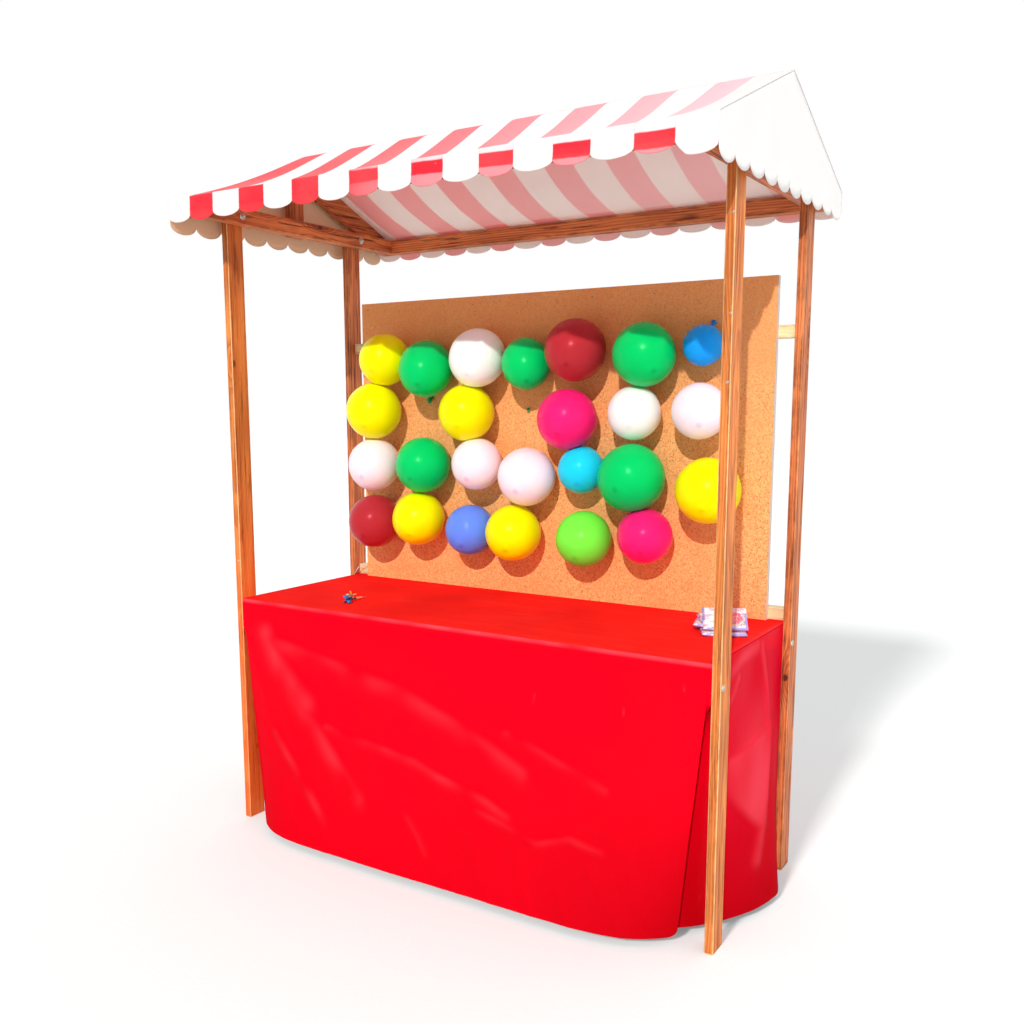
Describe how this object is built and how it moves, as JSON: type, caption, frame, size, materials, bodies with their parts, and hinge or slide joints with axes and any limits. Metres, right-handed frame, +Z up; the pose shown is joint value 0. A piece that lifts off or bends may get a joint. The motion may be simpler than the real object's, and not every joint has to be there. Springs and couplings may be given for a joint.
{
  "type": "carnival game stall",
  "caption": "Open timber game stall with a gabled striped canopy, a cloth-covered counter and a cork target board hung with balloons.",
  "frame": {"origin": "on the ground, at the middle of the stall's footprint box", "axes": "+Z up, +X along the counter to the player's right, +Y from the player's side to the back"},
  "size_m": [2.2046, 1.2238, 2.7122],
  "materials": {
    "stained_pine": "reddish-brown stained softwood, satin",
    "pale_pine": "bare planed pine",
    "plywood": "bare plywood",
    "white_board": "white-faced board, sawn edges painted",
    "cork": "granulated cork, matt",
    "red_cloth": "coated red tablecloth, semi-gloss",
    "canopy_stripe": "red and white striped coated canopy fabric",
    "canopy_white": "plain white coated canopy fabric",
    "latex_yellow": "stretched latex, glossy",
    "latex_green": "stretched latex, glossy",
    "latex_white": "stretched latex, glossy",
    "latex_maroon": "stretched latex, glossy",
    "latex_blue": "stretched latex, glossy",
    "latex_pink": "stretched latex, glossy",
    "latex_magenta": "stretched latex, glossy",
    "latex_royal_blue": "stretched latex, glossy",
    "latex_sky": "stretched latex, glossy",
    "latex_lime": "stretched latex, glossy",
    "dart_blue_plastic": "moulded plastic",
    "dart_yellow_plastic": "moulded plastic",
    "dart_brass": "turned brass",
    "bolt_steel": "zinc-plated fasteners",
    "packet_paper": "printed paper packets"
  },
  "bodies": {
    "root": {"post_front_left": "stained_pine", "post_front_right": "stained_pine", "post_rear_left": "stained_pine", "post_rear_right": "stained_pine", "truss_chord_left": "stained_pine", "king_post_left": "stained_pine", "rafter_front_left": "stained_pine", "rafter_rear_left": "stained_pine", "truss_chord_right": "stained_pine", "king_post_right": "stained_pine", "rafter_front_right": "stained_pine", "rafter_rear_right": "stained_pine", "eave_beam_front": "stained_pine", "eave_beam_rear": "stained_pine", "ridge_beam": "stained_pine", "counter_bearer_left": "stained_pine", "counter_bearer_right": "stained_pine", "counter_rail_front": "stained_pine", "counter_rail_rear": "stained_pine", "counter_top": "plywood", "cloth_top": "red_cloth", "cloth_front": "red_cloth", "cloth_rear": "red_cloth", "cloth_left": "red_cloth", "cloth_right": "red_cloth", "canopy_slope_front": "canopy_stripe", "canopy_slope_rear": "canopy_stripe", "valance_front": "canopy_stripe", "valance_rear": "canopy_stripe", "gable_cloth_left": "canopy_white", "gable_cloth_right": "canopy_white", "backing_board": "white_board", "cork_sheet_left": "cork", "cork_sheet_right": "cork", "batten_upper": "pale_pine", "batten_lower": "pale_pine", "balloons_far_left": "latex_yellow", "balloon_yellow_right": "latex_yellow", "balloon_green_upper_left": "latex_green", "balloons_right_column": "latex_green", "balloons_left_pair": "latex_green", "balloons_upper_middle": "latex_white", "balloon_maroon_upper": "latex_maroon", "balloon_maroon_low": "latex_maroon", "balloon_blue_small": "latex_blue", "balloon_pink_right": "latex_pink", "balloons_low_middle": "latex_pink", "balloons_magenta_and_sky": "latex_magenta", "balloon_royal_blue": "latex_royal_blue", "balloon_lime": "latex_lime", "dart_blue": "dart_blue_plastic", "dart_yellow": "dart_yellow_plastic", "prize_packets": "packet_paper"}
  },
  "joints": []
}
